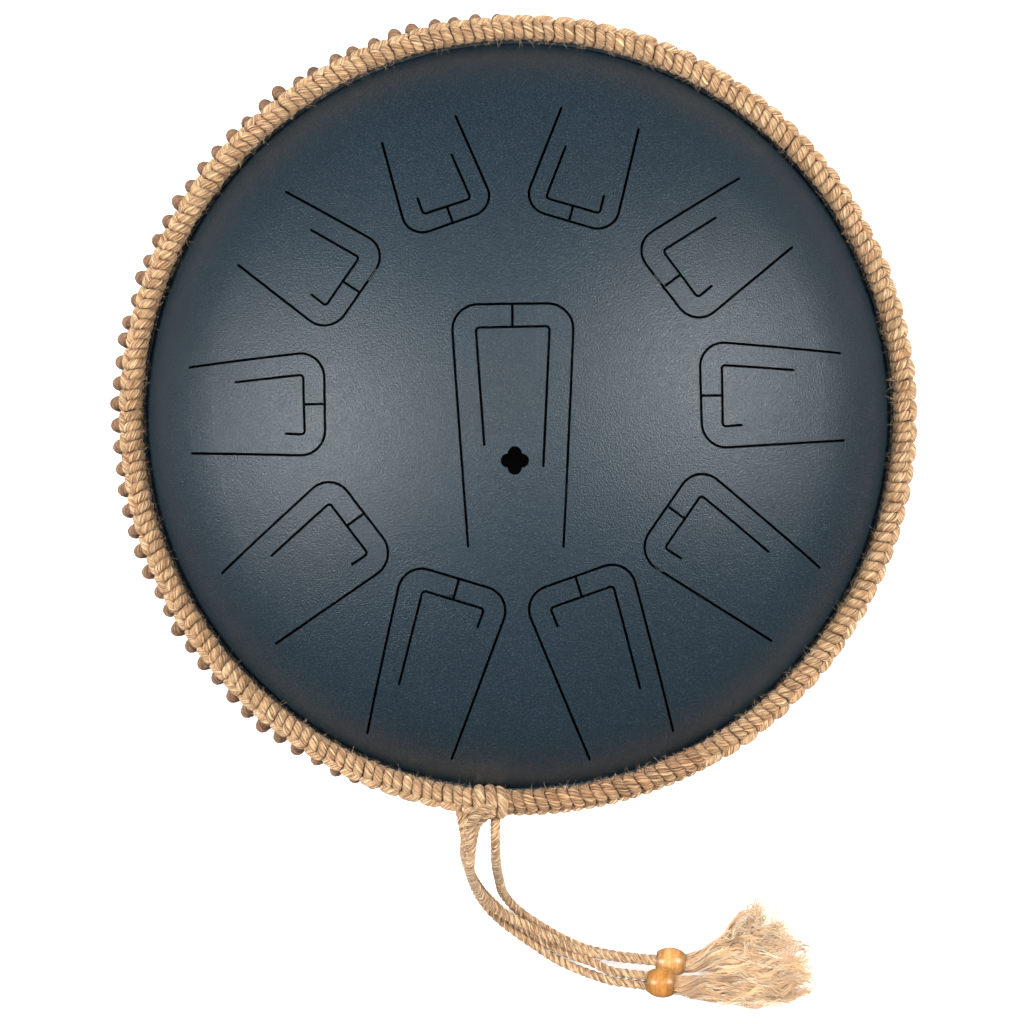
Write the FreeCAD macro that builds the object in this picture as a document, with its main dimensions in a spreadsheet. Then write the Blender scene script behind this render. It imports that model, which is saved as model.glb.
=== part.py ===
import FreeCAD, Part
import Sketcher
import math
import os

# Steel tongue drum: a domed steel top shell with eleven laser-cut tongues and
# a small four-lobed sound hole, bonded rim to rim to a bowl-shaped lower shell
# with a sound port. The rim is bound with jute cord laced over two hidden core
# cords. Four cord tails leave the binding, pass in pairs through two wooden
# beads and end in two combed-out tassels. Four screwed rubber feet carry it.
#
# Frame: millimetres, +Z up, Z is the drum's own axis, z = 0 is the plane the
# feet stand on. The cord tails leave the rim on the -Y side.

V = FreeCAD.Vector
doc = FreeCAD.newDocument("tongue_drum")

SIZES = [
    ("flange_radius", 171.45), ("wall", 1.5), ("rim_height", 78.0), ("bond_thickness", 0.3),
    ("shell_radius", 164.5),
    ("crown_radius", 230.0), ("crown_reach", 130.0), ("top_rim_slope", 65.0),
    ("bowl_radius", 420.0), ("bowl_reach", 105.0), ("bowl_rim_slope", 72.0),
    ("slot_width", 1.1), ("hole_lobe_radius", 2.87), ("hole_lobe_offset", 2.95),
    ("hole_x", -1.5), ("hole_y", -21.4), ("port_radius", 32.0),
    ("foot_circle", 95.0), ("foot_height", 14.0), ("foot_top_radius", 13.0),
    ("foot_bottom_radius", 11.0), ("foot_recess_radius", 5.6), ("foot_recess_depth", 6.0),
    ("seat_radius", 15.0), ("screw_radius", 1.95), ("screw_hole_radius", 2.1),
    ("screw_head_radius", 4.0), ("screw_head_height", 2.7), ("screw_top", 20.5),
    ("washer_radius", 5.0), ("washer_thickness", 1.0), ("nut_circumradius", 4.04), ("nut_height", 3.2),
    ("rope_circle", 170.4), ("rope_offset", 7.3), ("rope_radius", 5.25),
    ("whipping_radius", 5.5), ("core_radius", 2.0), ("core_room_radius", 2.1),
    ("wrap_seam", 0.6), ("whipping_start", -92.0), ("whipping_angle", 30.0),
    ("knot_inner_radius", 5.6), ("knot_outer_radius", 6.8), ("knot_start", -96.6), ("knot_angle", 4.5),
    ("cord_diameter", 4.3), ("bead_radius", 6.8), ("bead_length", 13.0), ("bead_bore_radius", 4.85),
    ("bead_end_radius", 5.5), ("bead_yaw", -6.0), ("lower_bead_pitch", 8.0),
]
sheet = doc.addObject("Spreadsheet::Sheet", "Sizes")
for row, (name, value) in enumerate(SIZES, start=1):
    sheet.set("A%d" % row, name)
    sheet.set("B%d" % row, repr(value))
    sheet.setAlias("B%d" % row, name)
doc.recompute()


def size(name):
    return float(sheet.get(name))


parts = {}


def keep(node, obj):
    obj.Label = node
    parts[node] = obj
    return obj


# ---------------------------------------------------------------- sketches

def origin_plane(body, role):
    for feature in body.Origin.OriginFeatures:
        if feature.Role == role:
            return feature
    raise ValueError(role)


def new_sketch(body, name, role, offset=0.0):
    sketch = body.newObject("Sketcher::SketchObject", name)
    sketch.AttachmentSupport = [(origin_plane(body, role), "")]
    sketch.MapMode = "FlatFace"
    sketch.AttachmentOffset = FreeCAD.Placement(V(0, 0, offset), FreeCAD.Rotation())
    return sketch


def line(p, q):
    return ("line", p, q)


def arc(centre, p, q, ccw):
    return ("arc", centre, p, q, ccw)


def add_profile(sketch, edges, binds=()):
    """A closed run of lines and arcs. binds: (edge, "Radius" or "X" or "Y", cell expression)."""
    ends = []
    for edge in edges:
        if edge[0] == "line":
            index = sketch.addGeometry(Part.LineSegment(V(edge[1][0], edge[1][1], 0), V(edge[2][0], edge[2][1], 0)), False)
            ends.append((index, 1, 2))
        else:
            centre, p, q, ccw = edge[1:]
            radius = math.hypot(p[0] - centre[0], p[1] - centre[1])
            a = math.atan2(p[1] - centre[1], p[0] - centre[0])
            b = math.atan2(q[1] - centre[1], q[0] - centre[0])
            if not ccw:
                a, b = b, a
            if b <= a:
                b += 2 * math.pi
            index = sketch.addGeometry(Part.ArcOfCircle(Part.Circle(V(centre[0], centre[1], 0), V(0, 0, 1), radius), a, b), False)
            ends.append((index, 1, 2) if ccw else (index, 2, 1))
    for here, there in zip(ends, ends[1:] + ends[:1]):
        sketch.addConstraint(Sketcher.Constraint("Coincident", here[0], here[2], there[0], there[1]))
    for number, (edge, kind, expression) in enumerate(binds):
        index, start, end = ends[edge]
        if kind == "Radius":
            value = sketch.Geometry[index].Radius
            c = sketch.addConstraint(Sketcher.Constraint("Radius", index, value))
        else:
            point = sketch.getPoint(index, end)
            value = point.x if kind == "X" else point.y
            c = sketch.addConstraint(Sketcher.Constraint("Distance" + kind, -1, 1, index, end, value))
        label = "bound_%d_%d" % (index, number)
        sketch.renameConstraint(c, label)
        sketch.setExpression("Constraints." + label, expression)


def revolved(node, edges, binds=(), angle=360.0):
    """A body turned about the drum's axis, or about the body's own Z axis."""
    body = doc.addObject("PartDesign::Body", node)
    sketch = new_sketch(body, node + "_profile", "XZ_Plane")
    add_profile(sketch, edges, binds)
    turn = body.newObject("PartDesign::Revolution", node + "_turn")
    turn.Profile = sketch
    turn.ReferenceAxis = (sketch, ["V_Axis"])
    turn.Angle = angle
    body.Tip = turn
    doc.recompute()
    return keep(node, body)


def cut_through(body, name, z, depth, loops):
    """A pocket cut downwards from the plane z, with the given closed loops."""
    before = body.Shape.Volume
    sketch = new_sketch(body, name + "_sketch", "XY_Plane", z)
    for edges in loops:
        add_profile(sketch, edges)
    pocket = body.newObject("PartDesign::Pocket", name)
    pocket.Profile = sketch
    pocket.Length = depth
    body.Tip = pocket
    doc.recompute()
    if body.Shape.isNull() or body.Shape.Volume > before - 0.5:
        raise ValueError(name + " cuts nothing")
    return pocket


def stroke(points, radii, width):
    """Outline of a slot of the given width along a line with rounded corners and round ends."""
    half = width / 2.0

    def unit(p, q):
        length = math.hypot(q[0] - p[0], q[1] - p[1])
        return ((q[0] - p[0]) / length, (q[1] - p[1]) / length)

    runs = [unit(p, q) for p, q in zip(points, points[1:])]
    start, finish = points[0], points[-1]
    left, right = [], []
    at = {1: None, -1: None}

    def shifted(p, d, side):
        return (p[0] - d[1] * half * side, p[1] + d[0] * half * side)

    for side in (1, -1):
        at[side] = shifted(start, runs[0], side)
    for i, radius in enumerate(radii):
        d, e, corner = runs[i], runs[i + 1], points[i + 1]
        cross = d[0] * e[1] - d[1] * e[0]
        turn = math.acos(max(-1.0, min(1.0, d[0] * e[0] + d[1] * e[1])))
        reach = radius * math.tan(turn / 2.0)
        sign = 1 if cross > 0 else -1
        t0 = (corner[0] - d[0] * reach, corner[1] - d[1] * reach)
        t1 = (corner[0] + e[0] * reach, corner[1] + e[1] * reach)
        centre = (t0[0] - d[1] * radius * sign, t0[1] + d[0] * radius * sign)
        for side, edges in ((1, left), (-1, right)):
            p, q = shifted(t0, d, side), shifted(t1, e, side)
            edges.append(line(at[side], p))
            edges.append(arc(centre, p, q, sign > 0))
            at[side] = q
    last = runs[-1]
    ends = {side: shifted(finish, last, side) for side in (1, -1)}
    left.append(line(at[1], ends[1]))
    right.append(line(at[-1], ends[-1]))
    back = []
    for edge in reversed(right):
        if edge[0] == "line":
            back.append(line(edge[2], edge[1]))
        else:
            back.append(arc(edge[1], edge[3], edge[2], not edge[4]))
    return (left + [arc(finish, ends[1], ends[-1], False)] + back
            + [arc(start, shifted(start, runs[0], -1), shifted(start, runs[0], 1), False)])


def link(p, q, width):
    """Outline of a straight slot that joins two slots, its ends inside them."""
    length = math.hypot(q[0] - p[0], q[1] - p[1])
    d = ((q[0] - p[0]) / length, (q[1] - p[1]) / length)
    p = (p[0] + d[0] * 0.25, p[1] + d[1] * 0.25)
    q = (q[0] - d[0] * 0.25, q[1] - d[1] * 0.25)
    n = (-d[1] * width / 2, d[0] * width / 2)
    corners = [(p[0] + n[0], p[1] + n[1]), (p[0] - n[0], p[1] - n[1]),
               (q[0] - n[0], q[1] - n[1]), (q[0] + n[0], q[1] + n[1])]
    return [line(a, b) for a, b in zip(corners, corners[1:] + corners[:1])]


# ------------------------------------------------------- tongues, plan view
# Each tongue is a flap freed by one U-shaped slot: end, two corners, end.
# A second, smaller U inside it sets the tongue's pitch, and a short slot
# joins the two at the tongue's free edge.

OUTER = [
    ("tongue_top_right", [(51.2, 120.3), (39.5, 72.7), (1.6, 84.0), (18.4, 129.4)], (9.5, 9.1)),
    ("tongue_top_left", [(-26.6, 125.6), (-9.3, 83.8), (-45.7, 71.0), (-57.8, 114.2)], (8.9, 8.9)),
    ("tongue_upper_right", [(94.4, 100.1), (46.7, 68.4), (73.2, 33.8), (116.9, 70.5)], (10.0, 10.3)),
    ("tongue_upper_left", [(-99.1, 94.2), (-53.3, 66.5), (-78.3, 30.5), (-119.4, 62.8)], (10.0, 10.4)),
    ("tongue_right", [(137.7, 25.5), (75.0, 28.5), (76.2, -16.4), (139.2, -11.9)], (10.4, 10.5)),
    ("tongue_left", [(-140.8, 19.5), (-80.7, 24.5), (-80.0, -19.2), (-139.7, -17.4)], (10.5, 10.4)),
    ("tongue_lower_right", [(109.1, -98.0), (47.9, -60.0), (74.1, -22.2), (129.7, -66.4)], (10.5, 10.2)),
    ("tongue_lower_left", [(-104.1, -99.1), (-49.4, -61.8), (-77.4, -25.5), (-127.3, -68.8)], (10.7, 10.2)),
    ("tongue_bottom_right", [(31.1, -149.8), (1.2, -77.0), (45.6, -61.3), (67.2, -137.5)], (10.1, 10.2)),
    ("tongue_bottom_left", [(-28.8, -149.5), (-2.3, -76.8), (-47.4, -63.3), (-65.4, -138.5)], (10.3, 10.3)),
    ("tongue_centre", [(18.6, -56.8), (23.0, 43.3), (-27.9, 42.7), (-20.7, -56.7)], (10.5, 10.5)),
]
INNER = [
    ("tongue_top_right", [(19.9, 111.2), (11.4, 88.2), (33.8, 81.7), (35.7, 89.4)], (1.5, 1.5)),
    ("tongue_top_left", [(-28.0, 107.7), (-19.8, 88.0), (-39.5, 81.5), (-42.1, 88.5)], (1.5, 1.5)),
    ("tongue_upper_right", [(83.1, 81.5), (60.1, 66.2), (74.6, 46.7), (80.7, 51.9)], (1.5, 1.5)),
    ("tongue_upper_left", [(-87.3, 76.4), (-66.2, 63.5), (-80.2, 43.3), (-86.4, 48.4)], (1.5, 1.5)),
    ("tongue_right", [(116.0, 17.4), (84.6, 18.6), (84.9, -7.0), (93.1, -6.2)], (1.5, 1.5)),
    ("tongue_left", [(-119.4, 12.3), (-89.6, 14.7), (-88.9, -10.2), (-96.9, -9.8)], (1.5, 1.5)),
    ("tongue_lower_right", [(67.7, -61.8), (60.8, -57.4), (75.9, -35.5), (105.7, -59.2)], (1.5, 1.5)),
    ("tongue_lower_left", [(-104.3, -61.0), (-78.5, -38.8), (-62.5, -59.8), (-69.3, -64.3)], (1.5, 1.5)),
    ("tongue_bottom_right", [(51.7, -117.2), (39.4, -73.1), (13.2, -82.4), (16.3, -89.9)], (1.5, 1.5)),
    ("tongue_bottom_left", [(-17.0, -90.4), (-14.2, -82.8), (-39.7, -75.1), (-50.5, -115.5)], (1.5, 1.5)),
    ("tongue_centre", [(-14.0, -15.0), (-17.5, 33.1), (12.8, 33.7), (10.2, -23.6)], (1.5, 1.5)),
]
BRIDGE = [
    ("tongue_top_right", [(21.0, 78.2), (22.8, 84.9)]),
    ("tongue_top_left", [(-27.2, 77.6), (-29.7, 84.6)]),
    ("tongue_upper_right", [(60.6, 51.1), (67.3, 56.2)]),
    ("tongue_upper_left", [(-65.7, 48.5), (-72.9, 53.5)]),
    ("tongue_right", [(75.8, 5.7), (84.7, 5.9)]),
    ("tongue_left", [(-80.1, 2.3), (-88.9, 2.3)]),
    ("tongue_lower_right", [(62.1, -40.3), (69.2, -45.3)]),
    ("tongue_lower_left", [(-63.8, -43.0), (-71.2, -48.2)]),
    ("tongue_bottom_right", [(23.6, -69.2), (26.5, -78.1)]),
    ("tongue_bottom_left", [(-24.6, -70.4), (-27.0, -78.6)]),
    ("tongue_centre", [(-2.5, 42.8), (-2.5, 33.3)]),
]

# ------------------------------------------------------------- upper shell

wall = size("wall")
rim = size("rim_height")
half_bond = size("bond_thickness") / 2
flange = size("flange_radius")
top_z = rim + half_bond + wall            # outer face of the upper flange
low_z = rim - half_bond - wall            # outer face of the lower flange


def shell_curve(radius, reach, slope):
    """Cap radius and shoulder arc that meet the rim at the given slope."""
    theta = math.asin(reach / radius)
    end = math.radians(slope)
    shoulder = (size("shell_radius") - reach) / (math.sin(end) - math.sin(theta))
    r0 = reach - shoulder * math.sin(theta)
    rise = shoulder * (math.cos(theta) - math.cos(end))
    return theta, end, shoulder, r0, rise


def shell_edges(radius, theta, end, shoulder, r0, rise, base, up):
    """Sheet section from the axis to the flange. up is 1 for a dome, -1 for a bowl."""
    zc = base - up * shoulder * math.cos(end)            # centre of the shoulder arc
    zk = base + up * (rise - radius * math.cos(theta))   # centre of the cap
    rs = size("shell_radius")

    def on(cr, cz, rad, ang):
        return (cr + rad * math.sin(ang), cz + up * rad * math.cos(ang))

    apex = (0.0, zk + up * radius)
    join = on(0.0, zk, radius, theta)
    foot = (rs, base)
    apex_in = (0.0, zk + up * (radius - wall))
    join_in = on(0.0, zk, radius - wall, theta)
    foot_in = on(r0, zc, shoulder - wall, end)
    inner_base = base - up * wall
    drop = abs(foot_in[1] - inner_base)
    heel = (foot_in[0] + drop / math.tan(end), inner_base)
    ccw = up < 0
    return [
        arc((0.0, zk), apex, join, ccw),
        arc((r0, zc), join, foot, ccw),
        line(foot, (flange, base)),
        line((flange, base), (flange, inner_base)),
        line((flange, inner_base), heel),
        line(heel, foot_in),
        arc((r0, zc), foot_in, join_in, not ccw),
        arc((0.0, zk), join_in, apex_in, not ccw),
        line(apex_in, apex),
    ]


theta, end, shoulder, r0, rise = shell_curve(size("crown_radius"), size("crown_reach"), size("top_rim_slope"))
upper = revolved(
    "upper_shell",
    shell_edges(size("crown_radius"), theta, end, shoulder, r0, rise, top_z, 1),
    [(0, "Radius", "Sizes.crown_radius"), (7, "Radius", "Sizes.crown_radius - Sizes.wall"),
     (2, "X", "Sizes.flange_radius"), (1, "X", "Sizes.shell_radius"),
     (2, "Y", "Sizes.rim_height + Sizes.bond_thickness / 2 + Sizes.wall")],
)
crown_z = top_z + rise + size("crown_radius") * (1 - math.cos(theta))

lobe, shift = size("hole_lobe_radius"), size("hole_lobe_offset")
hx, hy = size("hole_x"), size("hole_y")
meet = (shift + math.sqrt(2 * lobe * lobe - shift * shift)) / 2
corners = [(hx + meet, hy - meet), (hx + meet, hy + meet), (hx - meet, hy + meet), (hx - meet, hy - meet)]
centres = [(hx + shift, hy), (hx, hy + shift), (hx - shift, hy), (hx, hy - shift)]
sound_hole = [arc(centres[i], corners[i], corners[(i + 1) % 4], True) for i in range(4)]

slot = size("slot_width")
cut_through(upper, "outer_slots", crown_z + 8, 86.0,
            [stroke(points, radii, slot) for name, points, radii in OUTER] + [sound_hole])
cut_through(upper, "inner_slots", crown_z + 8, 86.0,
            [stroke(points, radii, slot) for name, points, radii in INNER])
cut_through(upper, "joining_slots", crown_z + 8, 86.0,
            [link(points[0], points[1], slot) for name, points in BRIDGE])

# ------------------------------------------------------------- lower shell
# A shallow bowl with a round sound port and four flat pressed seats for the feet.

theta, end, shoulder, r0, rise = shell_curve(size("bowl_radius"), size("bowl_reach"), size("bowl_rim_slope"))
bowl_z = low_z - rise - size("bowl_radius") * (1 - math.cos(theta))
full = shell_edges(size("bowl_radius"), theta, end, shoulder, r0, rise, low_z, -1)
outer_edges = full[:4]
# solid blank: the outer form filled up to the bonding face
blank = [outer_edges[0], outer_edges[1], outer_edges[2], outer_edges[3],
         line((flange, low_z + wall), (0.0, low_z + wall)), line((0.0, low_z + wall), (0.0, bowl_z))]
lower = revolved("lower_shell", blank,
                 [(0, "Radius", "Sizes.bowl_radius"), (2, "X", "Sizes.flange_radius"), (1, "X", "Sizes.shell_radius")])
seat_z = size("foot_height")
foot_r = size("foot_circle")
foot_at = [(foot_r * math.cos(math.radians(a)), foot_r * math.sin(math.radians(a))) for a in (225, 315, 135, 45)]


def circle_loop(centre, radius):
    a = (centre[0] + radius, centre[1])
    b = (centre[0] - radius, centre[1])
    return [arc(centre, a, b, True), arc(centre, b, a, True)]


seats = new_sketch(lower, "seat_sketch", "XY_Plane", seat_z)
for centre in foot_at:
    add_profile(seats, circle_loop(centre, size("seat_radius")), [(0, "Radius", "Sizes.seat_radius")])
pad = lower.newObject("PartDesign::Pad", "seats")
pad.Profile = seats
pad.Length = 14.0
lower.Tip = pad
doc.recompute()

cavity = new_sketch(lower, "cavity_profile", "XZ_Plane")
heel, foot_in = full[4][2], full[5][2]
join_in, apex_in = full[6][3], full[7][3]
add_profile(cavity, [
    full[6], full[7], line(apex_in, (0.0, low_z + wall + 1.0)),
    line((0.0, low_z + wall + 1.0), (heel[0], low_z + wall + 1.0)),
    line((heel[0], low_z + wall + 1.0), heel), full[5],
], [(1, "Radius", "Sizes.bowl_radius - Sizes.wall")])
groove = lower.newObject("PartDesign::Groove", "cavity")
groove.Profile = cavity
groove.ReferenceAxis = (cavity, ["V_Axis"])
groove.Angle = 360.0
lower.Tip = groove
doc.recompute()
cut_through(lower, "seat_cups", seat_z + wall + 30.0, 30.0,
            [circle_loop(centre, size("seat_radius") - wall) for centre in foot_at])
cut_through(lower, "port_and_screw_holes", seat_z + 30.0, 60.0,
            [circle_loop((0.0, 0.0), size("port_radius"))]
            + [circle_loop(centre, size("screw_hole_radius")) for centre in foot_at])

# ---------------------------------------------------------------- rim bond
revolved("rim_bond", [
    line((164.2, rim - half_bond), (171.2, rim - half_bond)),
    line((171.2, rim - half_bond), (171.2, rim + half_bond)),
    line((171.2, rim + half_bond), (164.2, rim + half_bond)),
    line((164.2, rim + half_bond), (164.2, rim - half_bond)),
])

# -------------------------------------------------------- feet and fasteners


def primitive(kind, name, **values):
    obj = doc.addObject(kind, name)
    for key, value in values.items():
        if isinstance(value, str):
            obj.setExpression(key, value)
        else:
            setattr(obj, key, value)
    return obj


def at(obj, x, y, z, rotation=None):
    obj.Placement = FreeCAD.Placement(V(x, y, z), rotation or FreeCAD.Rotation())
    return obj


def boolean(kind, name, base, tool):
    obj = doc.addObject(kind, name)
    obj.Base = base
    obj.Tool = tool
    return obj


for node, (x, y) in zip(("foot_front_left", "foot_front_right", "foot_back_left", "foot_back_right"), foot_at):
    cone = at(primitive("Part::Cone", node + "_cone", Radius1="Sizes.foot_bottom_radius",
                        Radius2="Sizes.foot_top_radius", Height="Sizes.foot_height"), x, y, 0)
    doc.recompute()
    rounded = doc.addObject("Part::Fillet", node + "_rounded")
    rounded.Base = cone
    lowest = [i + 1 for i, e in enumerate(cone.Shape.Edges)
              if abs(e.BoundBox.ZMax) < 1e-6 and len(e.Vertexes) == 1 and e.Length > 10]
    rounded.Edges = [(i, 1.5, 1.5) for i in lowest]
    recess = at(primitive("Part::Cylinder", node + "_recess", Radius="Sizes.foot_recess_radius",
                          Height="Sizes.foot_recess_depth + 1"), x, y, -1)
    hole = at(primitive("Part::Cylinder", node + "_hole", Radius="Sizes.screw_hole_radius",
                        Height="Sizes.foot_height + 2"), x, y, -1)
    keep(node, boolean("Part::Cut", node, boolean("Part::Cut", node + "_recessed", rounded, recess), hole))

recess_z = size("foot_recess_depth")
screws, washers, nuts = [], [], []
for i, (x, y) in enumerate(foot_at):
    head_z = recess_z - size("washer_thickness") - size("screw_head_height")
    head = at(primitive("Part::Cylinder", "screw_head_%d" % i, Radius="Sizes.screw_head_radius",
                        Height="Sizes.screw_head_height"), x, y, head_z)
    bit_a = at(primitive("Part::Box", "screw_slot_a_%d" % i, Length=4.0, Width=0.9, Height=2.0), x - 2.0, y - 0.45, head_z - 0.5)
    bit_b = at(primitive("Part::Box", "screw_slot_b_%d" % i, Length=0.9, Width=4.0, Height=2.0), x - 0.45, y - 2.0, head_z - 0.5)
    shank = at(primitive("Part::Cylinder", "screw_shank_%d" % i, Radius="Sizes.screw_radius",
                         Height="Sizes.screw_top - Sizes.foot_recess_depth + Sizes.washer_thickness + 0.5"),
               x, y, head_z + size("screw_head_height") - 0.5)
    whole = boolean("Part::Fuse", "screw_blank_%d" % i, head, shank)
    screws.append(boolean("Part::Cut", "screw_%d" % i,
                          boolean("Part::Cut", "screw_cut_%d" % i, whole, bit_a), bit_b))
    disc = at(primitive("Part::Cylinder", "washer_disc_%d" % i, Radius="Sizes.washer_radius",
                        Height="Sizes.washer_thickness"), x, y, recess_z - size("washer_thickness"))
    disc_hole = at(primitive("Part::Cylinder", "washer_hole_%d" % i, Radius="Sizes.screw_hole_radius",
                             Height="Sizes.washer_thickness + 2"), x, y, recess_z - size("washer_thickness") - 1)
    washers.append(boolean("Part::Cut", "washer_%d" % i, disc, disc_hole))
    hexagon = primitive("Part::Prism", "nut_hex_%d" % i, Circumradius="Sizes.nut_circumradius", Height="Sizes.nut_height")
    hexagon.Polygon = 6
    at(hexagon, x, y, seat_z + wall)
    thread = at(primitive("Part::Cylinder", "nut_hole_%d" % i, Radius="Sizes.screw_radius + 0.05",
                          Height="Sizes.nut_height + 2"), x, y, seat_z + wall - 1)
    nuts.append(boolean("Part::Cut", "nut_%d" % i, hexagon, thread))
for node, group in (("foot_screws", screws), ("foot_washers", washers), ("foot_nuts", nuts)):
    compound = doc.addObject("Part::Compound", node)
    compound.Links = group
    keep(node, compound)
doc.recompute()

# ----------------------------------------------------------- rim cord binding
# Two rows of half hitches, one above and one below the flange, each tied round
# a core cord, and a lacing between the rows that covers the flange's edge.

rope_r, rope_off = size("rope_circle"), size("rope_offset")
seam = size("wrap_seam") / 2


def rope_section(zc, radius, up):
    """Round section with a hollow for the core and a seam that faces the flange."""
    room = size("core_room_radius")
    so = math.sqrt(radius * radius - seam * seam)
    si = math.sqrt(room * room - seam * seam)
    a = (rope_r + seam, zc - up * so)
    b = (rope_r - seam, zc - up * so)
    c = (rope_r - seam, zc - up * si)
    d = (rope_r + seam, zc - up * si)
    return [arc((rope_r, zc), a, b, up > 0), line(b, c), arc((rope_r, zc), c, d, up < 0), line(d, a)]


upper_row = rim + rope_off
lower_row = rim - rope_off
wrap_angle = 360.0 - size("whipping_angle")
wrap = revolved("upper_rope_wrap", rope_section(upper_row, size("rope_radius"), 1),
                [(0, "Radius", "Sizes.rope_radius"), (2, "Radius", "Sizes.core_room_radius")], wrap_angle)
wrap.Placement = FreeCAD.Placement(V(0, 0, 0), FreeCAD.Rotation(V(0, 0, 1), size("whipping_start") + size("whipping_angle")))
whip = revolved("tail_whipping", rope_section(upper_row, size("whipping_radius"), 1),
                [(0, "Radius", "Sizes.whipping_radius"), (2, "Radius", "Sizes.core_room_radius")], size("whipping_angle"))
whip.Placement = FreeCAD.Placement(V(0, 0, 0), FreeCAD.Rotation(V(0, 0, 1), size("whipping_start")))
revolved("lower_rope_wrap", rope_section(lower_row, size("rope_radius"), -1),
         [(0, "Radius", "Sizes.rope_radius"), (2, "Radius", "Sizes.core_room_radius")])
for node, z in (("upper_rope_core", upper_row), ("lower_rope_core", lower_row)):
    ring = primitive("Part::Torus", node, Radius1="Sizes.rope_circle", Radius2="Sizes.core_radius")
    keep(node, at(ring, 0, 0, z))

lacing = [(171.75, -1.6), (173.4, -2.4), (174.9, -3.9), (176.3, -4.6), (177.0, -2.5),
          (177.0, 2.5), (176.3, 4.6), (174.9, 3.9), (173.4, 2.4), (171.75, 1.6)]
lacing = [(x, rim + z) for x, z in lacing]
revolved("rope_side_lacing", [line(a, b) for a, b in zip(lacing, lacing[1:] + lacing[:1])])

# exit knot: turns of cord drawn over the outer side of the upper row
ki, ko = size("knot_inner_radius"), size("knot_outer_radius")
k0, k1 = math.radians(-8.0), math.radians(200.0)


def on_rope(radius, angle):
    return (rope_r + radius * math.cos(angle), upper_row + radius * math.sin(angle))


knot = revolved("exit_knot", [
    line(on_rope(ki, k0), on_rope(ko, k0)),
    arc((rope_r, upper_row), on_rope(ko, k0), on_rope(ko, k1), True),
    line(on_rope(ko, k1), on_rope(ki, k1)),
    arc((rope_r, upper_row), on_rope(ki, k1), on_rope(ki, k0), False),
], [(1, "Radius", "Sizes.knot_outer_radius"), (3, "Radius", "Sizes.knot_inner_radius")], size("knot_angle"))
knot.Placement = FreeCAD.Placement(V(0, 0, 0), FreeCAD.Rotation(V(0, 0, 1), size("knot_start")))

# ------------------------------------------------------------------ tail cords
# Each tail leaves the rim outwards, comes down in one bend to the surface the
# drum stands on, and lies along it to its bead. Straight runs joined by
# tangent arcs, each arc as large as its two runs allow.

TAILS = {
    "tail_cord_1": [(-19.8, -177.6, 88.2), (-20.6, -193.2, 84.6), (-22.0, -204.2, 60.8), (-18.6, -216.4, 34.6),
                    (-11.0, -228.2, 14.6), (3.5, -236.6, 6.9), (27.5, -249.0, 6.6), (53.4, -252.27, 9.05),
                    (78.66, -254.92, 9.05)],
    "tail_cord_2": [(-21.0, -177.3, 83.6), (-22.0, -190.0, 79.5), (-23.2, -200.0, 58.0), (-20.5, -212.0, 32.0),
                    (-14.0, -224.0, 11.0), (-2.5, -235.8, 2.3), (20.5, -251.6, 2.4), (48.7, -257.7, 15.62),
                    (73.7, -260.3, 19.16)],
    "tail_cord_3": [(-22.2, -177.3, 78.8), (-23.4, -188.5, 72.0), (-24.4, -197.6, 52.3), (-22.6, -207.4, 29.6),
                    (-19.0, -222.8, 6.5), (-10.2, -236.1, 2.3), (6.3, -248.3, 2.3), (20.5, -256.8, 2.4),
                    (48.25, -262.08, 15.62), (73.3, -264.7, 19.16)],
    "tail_cord_4": [(-9.9, -177.6, 85.0), (-10.1, -191.5, 82.0), (-9.5, -203.0, 59.0), (-8.3, -212.5, 33.0),
                    (-7.2, -221.5, 11.5), (1.5, -232.5, 2.3), (27.7, -248.0, 2.3), (53.4, -252.27, 4.65),
                    (78.66, -254.92, 4.65)],
}


def cord(node, route, diameter):
    points = [V(*p) for p in route]
    runs = [q - p for p, q in zip(points, points[1:])]
    lengths = [r.Length for r in runs]
    edges, here, total, radii = [], points[0], 0.0, []
    for i in range(1, len(points) - 1):
        a, b = V(runs[i - 1]).normalize(), V(runs[i]).normalize()
        turn = a.getAngle(b)
        reach = 0.45 * min(lengths[i - 1], lengths[i])
        radius = reach / math.tan(turn / 2)
        radii.append(radius)
        t0, t1 = points[i] - a * reach, points[i] + b * reach
        inward = (b - a).normalize()
        middle = points[i] + inward * (radius / math.cos(turn / 2) - radius)
        if (t0 - here).Length > 1e-6:
            edges.append(Part.LineSegment(here, t0).toShape())
        edges.append(Part.Arc(t0, middle, t1).toShape())
        here = t1
    edges.append(Part.LineSegment(here, points[-1]).toShape())
    path = Part.Wire(edges)
    section = Part.Face(Part.Wire([Part.makeCircle(diameter / 2, points[0], runs[0])]))
    tube = path.makePipe(section)
    expected = math.pi * diameter ** 2 / 4 * path.Length
    print("%s length %.1f volume %.1f of %.1f, runs %s, radii %s, lowest %.2f" % (
        node, path.Length, tube.Volume, expected, " ".join("%.0f" % v for v in lengths),
        " ".join("%.0f" % v for v in radii), tube.BoundBox.ZMin))
    if abs(tube.Volume - expected) > 0.01 * expected:
        raise ValueError(node + " tube volume")
    feature = doc.addObject("Part::Feature", node)
    feature.Shape = tube
    return keep(node, feature)


for node, route in TAILS.items():
    cord(node, route, size("cord_diameter"))

# ----------------------------------------------------------------------- beads
# Turned wooden beads with flattened ends and a bore that clears two cords.

bead_r, bead_h = size("bead_radius"), size("bead_length") / 2
bore_r, end_r = size("bead_bore_radius"), size("bead_end_radius")
# the side is one arc through the two end rims and the widest circle
bulge = (bead_h ** 2 - (bead_r - end_r) ** 2) / (2 * (bead_r - end_r)) + (bead_r - end_r)


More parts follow.
